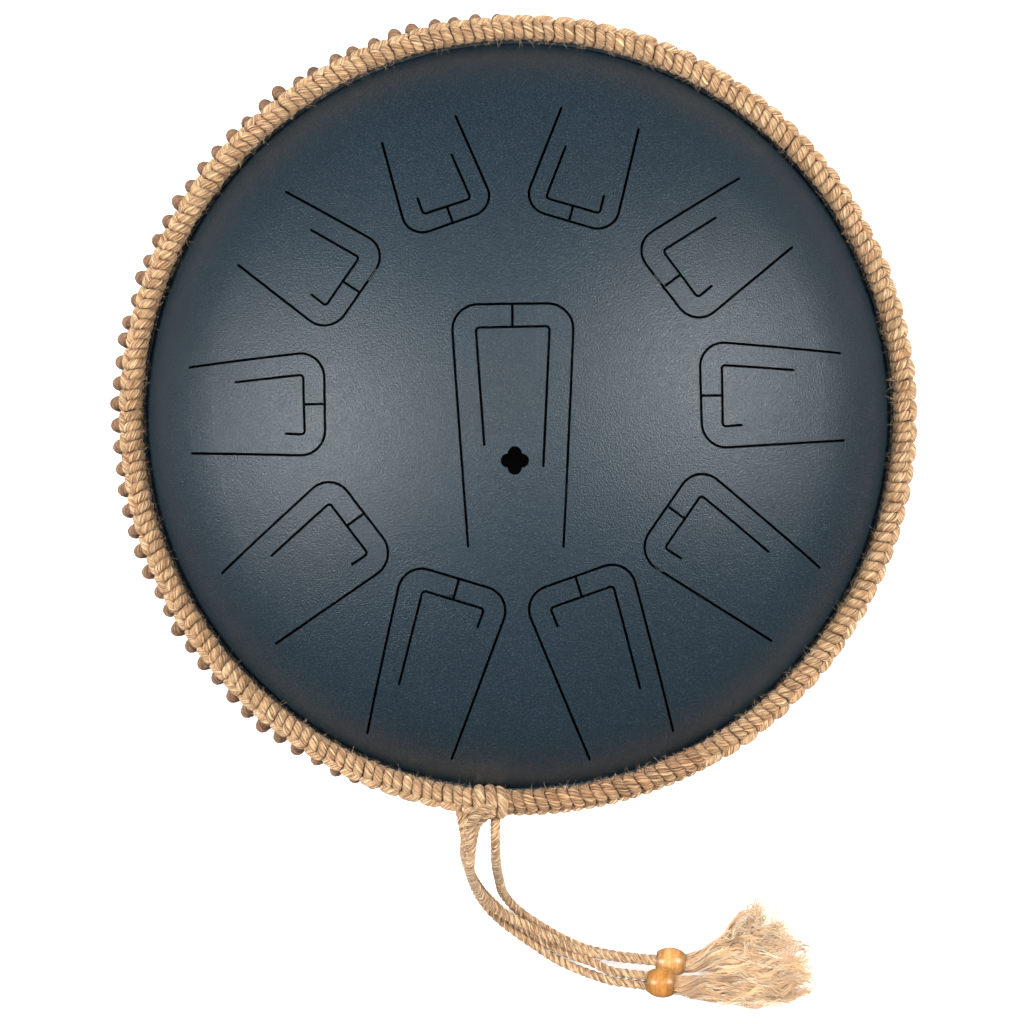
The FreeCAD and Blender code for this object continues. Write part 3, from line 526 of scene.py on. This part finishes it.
def coil(centres, psi0, steps, rho_r, rho_z, zc, radius, sides, lay, sense, slant, rc=RIM_R, wob=0.00010, depth=0.10, start=0.0, bulge=None, cross=0.70):
    """A cord wound round the rim: one turn at each ring angle in centres, stepping on while it is underneath."""
    n = len(centres)
    tau = np.arange(n * steps + 1) / steps
    j = np.minimum(tau.astype(int), n - 1)
    f = tau - j
    nxt = np.minimum(j + 1, n - 1)
    cen = np.asarray(centres)
    adv = smooth((f - cross) / (1.0 - cross))
    phi = cen[j] + (cen[nxt] - cen[j]) * adv
    psi = psi0 + 2 * math.pi * tau
    rr = rc + (rng.normal(0, 1, n)[j] * (1 - adv) + 0 * adv) * wob
    phi = phi + slant * np.cos(psi) / rc
    rad_r = rho_r * (1.0 + 0.04 * np.sin(0.37 * tau + 1.0))
    if bulge is not None:
        rad_r = rad_r + bulge(phi) * np.maximum(0.0, np.cos(psi))
    p = on_ring(phi, psi, rad_r, rho_z * (1.0 + 0.03 * np.cos(0.53 * tau)), zc, rr)
    return tube(p, radius, sides, lay=lay, sense=sense, side=ring_side(phi), depth=depth, start=start)


n_pairs = int((PAIRS_TO - PAIRS_FROM) / PAIR)
step = (PAIRS_TO - PAIRS_FROM) / n_pairs
pair_mid = PAIRS_FROM + step * (np.arange(n_pairs) + 0.5)
centres = []
for m in pair_mid:
    jit = rng.normal(0, 0.05) * DEG
    centres += [m - 0.745 * DEG + jit, m + 0.745 * DEG + jit + rng.normal(0, 0.03) * DEG]
centres = np.array(centres)

QUARTERS = 3
cut = [0, (len(centres) // 3) // 2 * 2, (2 * len(centres) // 3) // 2 * 2, len(centres)]
for k in range(QUARTERS):
    c = centres[cut[k]:cut[k + 1]]
    part = coil(c, -95 * DEG, 40, 0.00252, 0.00265, UP_Z, 0.00214, 18, 0.0062, -1.0, 0.00075, start=1.3 * (k + 1), depth=0.055)
    ob = build("rim_upper_turns_%d" % (k + 1), [part], M_JUTE)
    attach(ob, "drum")
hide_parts("upper_rope_wrap")

# lower row: one fuller turn between each two pairs, showing outside the upper row on one side
low_mid = PAIRS_FROM + step * np.arange(0, n_pairs + 1)
low_centres = []
for m in low_mid:
    low_centres += [m - 0.70 * DEG + rng.normal(0, 0.05) * DEG, m + 0.70 * DEG + rng.normal(0, 0.05) * DEG]
low_centres = np.array(low_centres)


def left_bulge(phi):
    d = np.cos(phi - 168 * DEG)
    return smooth((d + 0.08) / 0.62)


cut = [0, (len(low_centres) // 2) // 2 * 2, len(low_centres)]
for k in range(2):
    c = low_centres[cut[k]:cut[k + 1]]
    part = coil(c, 95 * DEG, 32, 0.00285, 0.00280, LOW_Z, 0.00208, 12, 0.0088, -1.0, 0.0008, start=2.7 * (k + 1), rc=170.0 * MM, depth=0.05)
    ob = build("rim_lower_turns_%d" % (k + 1), [part], M_LOW_PAINTED_SHADE)
    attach(ob, "drum")
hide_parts("lower_rope_wrap")

# arched strands: each rises out of the gap before a pair, caps its outer ends and goes down after it
parts = []
for i, m in enumerate(pair_mid):
    u = np.linspace(-1.0, 1.0, 33)
    rt, leg = 3.25, 4.6
    span = rt * math.pi / 2.0 + leg
    d_s = np.abs(u) * span
    bend = np.minimum(d_s / rt, math.pi / 2.0)
    side_x = np.sign(u) * rt * np.sin(bend)
    drop = rt * (1.0 - np.cos(bend)) + np.maximum(d_s - rt * math.pi / 2.0, 0.0)
    phi = m + side_x / 170.0 + rng.normal(0, 0.05) * DEG
    lift = 1.0 - drop / (rt + leg)
    top = 34 + rng.normal(0, 4)
    psi = (top - (80 + top) * drop / (rt + leg)) * DEG
    out = 0.00425 + 0.00012 * rng.normal() + 0.0007 * (1.0 - float(left_bulge(m)))
    out = out - 0.00055 + 0.00145 * (1.0 - (side_x / rt) ** 2) * (1.0 - 0.45 * float(left_bulge(m))) - 0.00100 * max(0.0, math.cos(m)) ** 3
    p = on_ring(phi, psi, out, 0.0042, UP_Z, RIM_R)
    low = smooth((np.abs(u) - 0.80) / 0.20)
    p[:, 2] -= low * 0.0022
    parts.append(tube(p, 0.00176 * (0.88 + 0.12 * lift), 15, lay=0.0066, sense=-1.0, depth=0.055, start=0.61 * i))
ob = build("rim_arched_strands", parts, M_LACE)
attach(ob, "drum")
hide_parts("rope_side_lacing")
ARCHES = ob

# outer bends of the lower row, one to a pair, fuller on the side where the lacing is slack
parts = []
for i, m in enumerate(pair_mid):
    b = float(left_bulge(m))
    u = np.linspace(0.0, 1.0, 21)
    phi = m + (0.24 + rng.normal(0, 0.05)) * step + 1.5 * (u - 0.5) * DEG
    psi = (112 - 224 * u) * DEG
    rr = 0.0042 + 0.0038 * b * (1.0 + 0.12 * rng.normal())
    r = 0.1700 + rr * np.cos(psi)
    z = 0.0726 + 0.0062 * np.sin(psi)
    p = np.stack([r * np.cos(phi), r * np.sin(phi), z], axis=-1)
    parts.append(tube(p, 0.00215 + 0.00055 * b, 14, lay=0.0115, sense=-1.0, depth=0.05, start=0.33 * i + 9.0))
ob = build("rim_lower_bends", parts, M_LOW_PAINTED_SHADE)
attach(ob, "drum")

# cores inside both rows
for nm, zc, nodes_ in (("rim_core_upper", UP_Z, ("upper_rope_core",)), ("rim_core_lower", LOW_Z, ("lower_rope_core",))):
    a = np.linspace(0, 2 * math.pi, 361)
    p = on_ring(a, np.zeros_like(a), 0.0, 0.0, zc, RIM_R if zc == UP_Z else 170.0 * MM)
    ob = build(nm, [tube(p, 0.0011, 9, lay=0.012, side=ring_side(a), depth=0.08, caps=False)], M_CORE)
    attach(ob, "drum")
    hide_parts(*nodes_)

# ------------------------------------------------------------------ whipping right of the knot
W0, W1 = -94.2 * DEG, -61.6 * DEG
wn = 19
wc = W0 + (W1 - W0) * (np.arange(wn) + 0.5) / wn + rng.normal(0, 0.05, wn) * DEG
parts = [coil(wc, -95 * DEG, 44, 0.00262, 0.00268, UP_Z, 0.00246, 20, 0.0064, -1.0, 0.0012, start=4.4, depth=0.055)]
parts.append(coil(wc, 95 * DEG, 30, 0.00285, 0.00280, LOW_Z, 0.00215, 12, 0.0120, -1.0, 0.0008, start=6.4, rc=170.0 * MM))
ob = build("whipping_turns", parts, M_WHIP)
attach(ob, "drum")
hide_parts("tail_whipping")

parts = []
for i, m in enumerate(wc):
    u = np.linspace(-1.0, 1.0, 15)
    stepw = (W1 - W0) / wn
    phi = m + 0.0 * u + stepw * 0.52 * u
    lift = np.cos(u * math.pi / 2.0)
    psi = (-66 + 66 * np.power(np.maximum(lift, 0.0), 0.8)) * DEG
    p = on_ring(phi, psi, 0.0050, 0.0048, UP_Z - 0.0012, RIM_R)
    parts.append(tube(p, 0.00165, 14, lay=0.0066, sense=-1.0, depth=0.05, start=0.21 * i + 3.0))
ob = build("whipping_edge_loops", parts, M_LACE)
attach(ob, "drum")
WHIP_EDGE = ob

# ------------------------------------------------------------------ exit knot
parts = []
for k, (deg, rho, bow) in enumerate(((-95.75, 4.55, 0.5), (-94.20, 5.15, 0.9), (-92.75, 4.80, 1.6))):
    psi = np.linspace(-62, 232, 46) * DEG
    phi = deg * DEG + (bow * MM * np.sin(psi) - 1.6 * MM * np.cos(psi) * -0.35) / RIM_R
    rho_v = rho * MM
    p = on_ring(phi, psi, rho_v * 1.04, rho_v, UP_Z - 0.0004, RIM_R + 0.0008)
    parts.append(tube(p, 0.00236, 18, lay=0.0125, sense=-1.0, depth=0.05, side=ring_side(phi), start=1.7 * k + 0.4))
ob = build("exit_knot_turns", parts, M_LACE)
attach(ob, "drum")
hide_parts("exit_knot")
KNOT = ob

# strands sweeping out of the knot into the bundle of tails
NECK = {
    "neck_a": [(-0.0112, -0.1710, 0.0895), (-0.0136, -0.1718, 0.0920), (-0.0164, -0.1732, 0.0932), (-0.0188, -0.1752, 0.0926), (-0.0208, -0.1794, 0.0906), (-0.0210, -0.1852, 0.0876), (-0.0211, -0.1915, 0.0822)],
    "neck_b": [(-0.0112, -0.1712, 0.0880), (-0.0134, -0.1752, 0.0900), (-0.0162, -0.1768, 0.0896), (-0.0187, -0.1800, 0.0882), (-0.0196, -0.1858, 0.0856), (-0.0204, -0.1910, 0.0820)],
    "neck_e": [(-0.0212, -0.1695, 0.0790), (-0.0224, -0.1750, 0.0832), (-0.0222, -0.1800, 0.0842), (-0.0221, -0.1860, 0.0815), (-0.0226, -0.1915, 0.0760)],
    "neck_c": [(-0.0262, -0.1700, 0.0780), (-0.0256, -0.1745, 0.0808), (-0.0246, -0.1790, 0.0815), (-0.0236, -0.1860, 0.0780), (-0.0234, -0.1925, 0.0720)],
    "neck_d": [(-0.0096, -0.1698, 0.0800), (-0.0098, -0.1745, 0.0838), (-0.0099, -0.1790, 0.0848), (-0.0101, -0.1850, 0.0836), (-0.0101, -0.1895, 0.0815)],
}
for k, (n, pts) in enumerate(NECK.items()):
    line = route_points(n, pts, 16)
    kk = len(line)
    r = (0.00222 if n == "neck_a" else 0.00200) * (0.90 + 0.10 * np.sin(np.linspace(0.0, 1.0, kk) * math.pi))
    ob = build("cord_" + n, [tube(line, r, 16, lay=0.0105, sense=1.0, depth=0.11, start=0.5 * k + 2.0)], M_TAIL)
    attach(ob, "drum")

# ------------------------------------------------------------------ beads
def bead(name, body, centre, yaw, pitch, mat, seed):
    """Turned wooden bead, its bore along local X."""
    hl, ro, rb, r_in, r_out = 0.0065, 0.00680, 0.00440, 0.00446, 0.00476
    prof = []
    for a in np.linspace(-90.0, 90.0, 33):
        x = hl * math.sin(a * DEG) * (0.985 if a < 0 else 0.97)
        rf = r_in if a < 0 else r_out
        r = rf + (ro - rf) * (1.0 - abs(math.sin(a * DEG)) ** (2.0 if a < 0 else 2.5))
        prof.append((x, r))
    ring = [(-hl * 0.985, rb)] + prof + [(hl, r_out - 0.0002), (hl, rb + 0.0001), (hl * 0.94, rb), (0.0, rb), (-hl * 0.94, rb)]
    m = len(ring)
    sides = 64
    lr = np.random.default_rng(seed)
    th = 2 * math.pi * np.arange(sides) / sides
    v = []
    for x, r in ring:
        wob = 1.0 + 0.003 * np.sin(2 * th + lr.uniform(0, 0.3)) if r > rb + 0.0003 else np.ones(sides)
        v.append(np.stack([np.full(sides, x), r * wob * np.cos(th), r * wob * np.sin(th)], axis=-1))
    v = np.concatenate(v)
    faces = []
    for i in range(m):
        i2 = (i + 1) % m
        for j in range(sides):
            j2 = (j + 1) % sides
            faces.append((i * sides + j, i2 * sides + j, i2 * sides + j2, i * sides + j2))
    me = bpy.data.meshes.new(name)
    me.from_pydata([tuple(q) for q in v], [], faces)
    me.update()
    me.validate()
    me.polygons.foreach_set("use_smooth", np.ones(len(me.polygons), bool))
    me.materials.append(mat)
    ob = bpy.data.objects.new(name, me)
    SCENE.collection.objects.link(ob)
    ob.matrix_world = Matrix.Translation(Vector(centre) * MM) @ Euler((0.0, -pitch * DEG, yaw * DEG), "XYZ").to_matrix().to_4x4()
    bpy.context.view_layer.update()
    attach(ob, body)
    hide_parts(body)
    return ob


B1 = bead("wood_bead_1", "upper_bead", (71.8, -254.2, 6.85), -6.0, 0.0, M_BEAD1, 3)
B2 = bead("wood_bead_2", "lower_bead", (66.7, -261.8, 18.2), -6.0, 8.0, M_BEAD2, 5)

# ------------------------------------------------------------------ tassels
FAN_1 = [(78.9, -254.95, 6.85, 4.2, 4.2, -6), (88, -254.0, 5.2, 5.4, 4.3, 8), (99, -250.6, 4.2, 8.6, 3.9, 20), (110, -245.6, 3.8, 14.0, 3.6, 29), (120, -240.4, 3.2, 18.0, 3.0, 34), (129.0, -234.6, 2.6, 19.0, 2.4, 37)]
FAN_2 = [(73.9, -262.56, 19.3, 4.2, 4.2, -6), (83, -264.6, 14.6, 5.8, 4.3, -8), (95, -266.0, 7.0, 8.0, 4.8, -4), (110, -266.0, 4.4, 10.2, 4.2, 1), (126, -264.2, 3.6, 12.4, 3.4, 5), (139.5, -262.2, 2.6, 12.4, 2.5, 8)]


def tassel(name, fan, locks, per_lock, seed, node_name, thick, mat, tip_lo, tip_hi, spread=0.9, lock_r=0.24, waves=1.0, root=True):
    """Frayed cord ends: wavy locks of fibres that fan out of the bead and rest on the floor."""
    lr = np.random.default_rng(seed)
    secs = np.array(fan, float)
    d = np.concatenate([[0], np.cumsum(np.linalg.norm(np.diff(secs[:, :3], axis=0), axis=1))])
    parts = []
    k = 20
    for q in range(locks):
        a0 = 2 * math.pi * (q * 0.381966 + lr.uniform(-0.04, 0.04))
        rad0 = math.sqrt((q + 0.5) / locks) * spread
        u0, w0 = rad0 * math.cos(a0), rad0 * math.sin(a0)
        tip = lr.uniform(tip_lo, tip_hi)
        ph = lr.uniform(0, 6.28, 6)
        amp = lr.uniform(0.6, 1.3, 3) * waves
        wl = lr.uniform(0.8, 1.25)
        lock_turn = lr.uniform(0.05, 0.16)
        for _ in range(per_lock):
            end = d[-1] * min(1.03 * tip_hi, tip + lr.normal(0, 0.035))
            first = lr.uniform(-2.4, 0.2) if (root and lr.random() < 0.85) else lr.uniform(0, 6)
            t = np.linspace(first, end, k)
            sec = np.stack([np.interp(t, d, secs[:, c]) for c in range(6)], axis=-1)
            over = np.maximum(t - d[-1], 0.0) + np.minimum(t, 0.0)
            hd = sec[:, 5] * DEG
            sec[:, 0] += over * np.cos(hd)
            sec[:, 1] += over * np.sin(hd)
            g = smooth(t / (0.55 * d[-1]))
            lu = u0 + g * amp[0] * (0.12 * np.sin(t * 0.30 * wl + ph[0]) + 0.055 * np.sin(t * 0.62 * wl + ph[1]))
            lw = w0 + g * amp[1] * 0.22 * np.sin(t * 0.34 * wl + ph[2])
            fr = math.sqrt(lr.uniform(0, 1)) * lock_r * (0.75 + 0.5 * g)
            fa = lr.uniform(0, 6.28) + lock_turn * t * 2.2
            loose = lr.normal(0, 1) * smooth((t / d[-1] - 0.6) / 0.4) * 0.06 * waves
            u = lu + fr * np.cos(fa) * (0.55 + 0.30 * np.sin(t * 0.16 + ph[3])) + loose
            w = lw + fr * np.sin(fa)
            m = np.maximum(1.0, np.sqrt((u / 1.04) ** 2 + w ** 2))
            u, w = u / m, w / m
            tw = (1 - smooth(t / 14.0)) * 1.2
            cu, su = np.cos(tw), np.sin(tw)
            uu = u * cu - w * su
            ww = u * su + w * cu
            x = sec[:, 0] - np.sin(hd) * uu * sec[:, 3]
            y = sec[:, 1] + np.cos(hd) * uu * sec[:, 3]
            z = sec[:, 2] + ww * sec[:, 4]
            z = np.maximum(z, 0.35 + 0.25 * lr.random())
            p = np.stack([x, y, z], axis=-1) * MM
            f = (t - first) / (end - first)
            r = thick * lr.uniform(0.55, 1.25) * (1.0 - 0.6 * smooth(f * 1.2 - 0.2))
            parts.append(tube(p, r, 5, depth=0.0, start=q * 3.7 + lr.uniform(0, 0.004), lay=0.02, sense=1.0))
    ob = build(name, parts, mat)
    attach(ob, "drum")
    if node_name:
        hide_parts(node_name)
    return ob


T1 = tassel("tassel_1_fibres", FAN_1, 22, 20, 11, "upper_tassel", 0.00036, M_FIBRE, 0.62, 0.97)
T1B = tassel("tassel_1_wisps", FAN_1, 30, 8, 12, None, 0.00014, M_FIBRE_PALE, 0.84, 1.08, spread=1.0, lock_r=0.30, waves=1.9)
T2 = tassel("tassel_2_fibres", FAN_2, 22, 22, 13, "lower_tassel", 0.00038, M_FIBRE, 0.74, 0.99)
T2B = tassel("tassel_2_wisps", FAN_2, 24, 8, 14, None, 0.00014, M_FIBRE_PALE, 0.84, 1.05, spread=1.0, lock_r=0.30, waves=1.7)

for n, b, tas in (("tail_cord_1", B1, T1), ("tail_cord_2", B2, T2), ("tail_cord_3", B2, T2), ("tail_cord_4", B1, T1)):
    line = LINES[n]

# ------------------------------------------------------------------ loose fibres
def fuzz(name, anchors, count, seed, lo, hi, rad, body="drum", mat=None, floor_z=0.0006):
    """Short stray fibres that leave the cord surface and curl away."""
    lr = np.random.default_rng(seed)
    parts = []
    for _ in range(count):
        pt, nrm, tan = anchors(lr)
        ln = lr.uniform(lo, hi) * MM
        side = unit(np.cross(nrm, tan)[None, :])[0]
        dirn = nrm * lr.uniform(0.25, 1.0) + tan * lr.normal(0, 0.7) + side * lr.normal(0, 0.5)
        dirn /= np.linalg.norm(dirn)
        bend = lr.normal(0, 1, 3)
        bend -= dirn * bend.dot(dirn)
        bend /= np.linalg.norm(bend)
        t = np.linspace(0, 1, 6)
        p = pt[None, :] - dirn * 0.0004 + dirn[None, :] * (t * ln)[:, None] + bend[None, :] * (t ** 2 * ln * lr.uniform(0.1, 0.6))[:, None]
        p[:, 2] = np.maximum(p[:, 2], floor_z)
        r = rad * lr.uniform(0.6, 1.2) * (1 - 0.7 * t)
        parts.append(tube(p, r, 3, depth=0.0, start=lr.uniform(0, 9), caps=False))
    ob = build(name, parts, mat or M_FUZZ)
    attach(ob, body)
    return ob


def rim_anchor(lr):
    phi = lr.uniform(-math.pi, math.pi)
    psi = (lr.normal(150, 34) if lr.random() < 0.55 else lr.uniform(-30, 215)) * DEG
    rr = 0.0046
    e = np.array([math.cos(phi), math.sin(phi), 0.0])
    nrm = e * math.cos(psi) + np.array([0, 0, 1.0]) * math.sin(psi)
    pt = e * RIM_R + np.array([0, 0, UP_Z]) + nrm * rr
    return pt, nrm, np.array([-math.sin(phi), math.cos(phi), 0.0])


def side_anchor(lr):
    phi = lr.uniform(-math.pi, math.pi)
    psi = lr.uniform(-60, 30) * DEG
    e = np.array([math.cos(phi), math.sin(phi), 0.0])
    nrm = e * math.cos(psi) + np.array([0, 0, 1.0]) * math.sin(psi)
    pt = e * (RIM_R + 0.0006) + np.array([0, 0, LOW_Z]) + nrm * 0.0048
    return pt, nrm, np.array([-math.sin(phi), math.cos(phi), 0.0])


ALL_LINE = [LINES[n] for n in sorted(LINES)]


def cord_anchor(lr):
    line = ALL_LINE[lr.integers(0, len(ALL_LINE))]
    i = int(lr.integers(2, int(np.sum(line[:, 0] < 0.047)) - 1))      # none where the beads travel
    tan = line[i + 1] - line[i]
    tan /= np.linalg.norm(tan)
    n = lr.normal(0, 1, 3)
    n -= tan * n.dot(tan)
    n /= np.linalg.norm(n)
    return line[i] + n * 0.0019, n, tan


fuzz("rim_stray_fibres", rim_anchor, 2300, 31, 1.2, 4.6, 0.00008)
fuzz("rim_side_stray_fibres", side_anchor, 500, 32, 1.0, 3.4, 0.00008)
fuzz("tail_stray_fibres", cord_anchor, 420, 33, 1.0, 4.2, 0.00007)

# ------------------------------------------------------------------ floor
me = bpy.data.meshes.new("studio_floor")
me.from_pydata([(-4, -4, 0), (4, -4, 0), (4, 4, 0), (-4, 4, 0)], [], [(0, 1, 2, 3)])
floor = bpy.data.objects.new("studio_floor", me)
SCENE.collection.objects.link(floor)
fm, fnt, fb = material("studio_white_painted_shadow")
fn = noise(fnt, coords(fnt, 6.0), detail=2.0)
pale = ramp(fnt, fn, [(0.3, (0.88, 0.88, 0.88)), (0.7, (0.90, 0.90, 0.90))])
fb.inputs["Roughness"].default_value = 0.9
fb.inputs["Specular IOR Level"].default_value = 0.1
fb.inputs["Emission Color"].default_value = (1.0, 1.0, 1.0, 1.0)
sx = node(fnt, "ShaderNodeSeparateXYZ")
fnt.links.new(node(fnt, "ShaderNodeTexCoord").outputs["Object"], sx.inputs[0])
rr2 = math_n(fnt, "SQRT", math_n(fnt, "ADD", math_n(fnt, "MULTIPLY", sx.outputs["X"], sx.outputs["X"]), math_n(fnt, "MULTIPLY", sx.outputs["Y"], sx.outputs["Y"])))
# The floor glows evenly (emission 0.42) so it reads plain white. The glow fades out inside r 130 mm, and the base
# colour turns near-black inside r 45 to 85 mm: a painted shadow under the drum, seen through the slots and the port.
fnt.links.new(mapr(fnt, rr2, 0.05, 0.130, 0.0, 0.42), fb.inputs["Emission Strength"])
fnt.links.new(mix(fnt, (0.02, 0.02, 0.02), pale, mapr(fnt, rr2, 0.045, 0.085, 0.0, 1.0)), fb.inputs["Base Color"])
me.materials.append(fm)
floor.visible_glossy = False
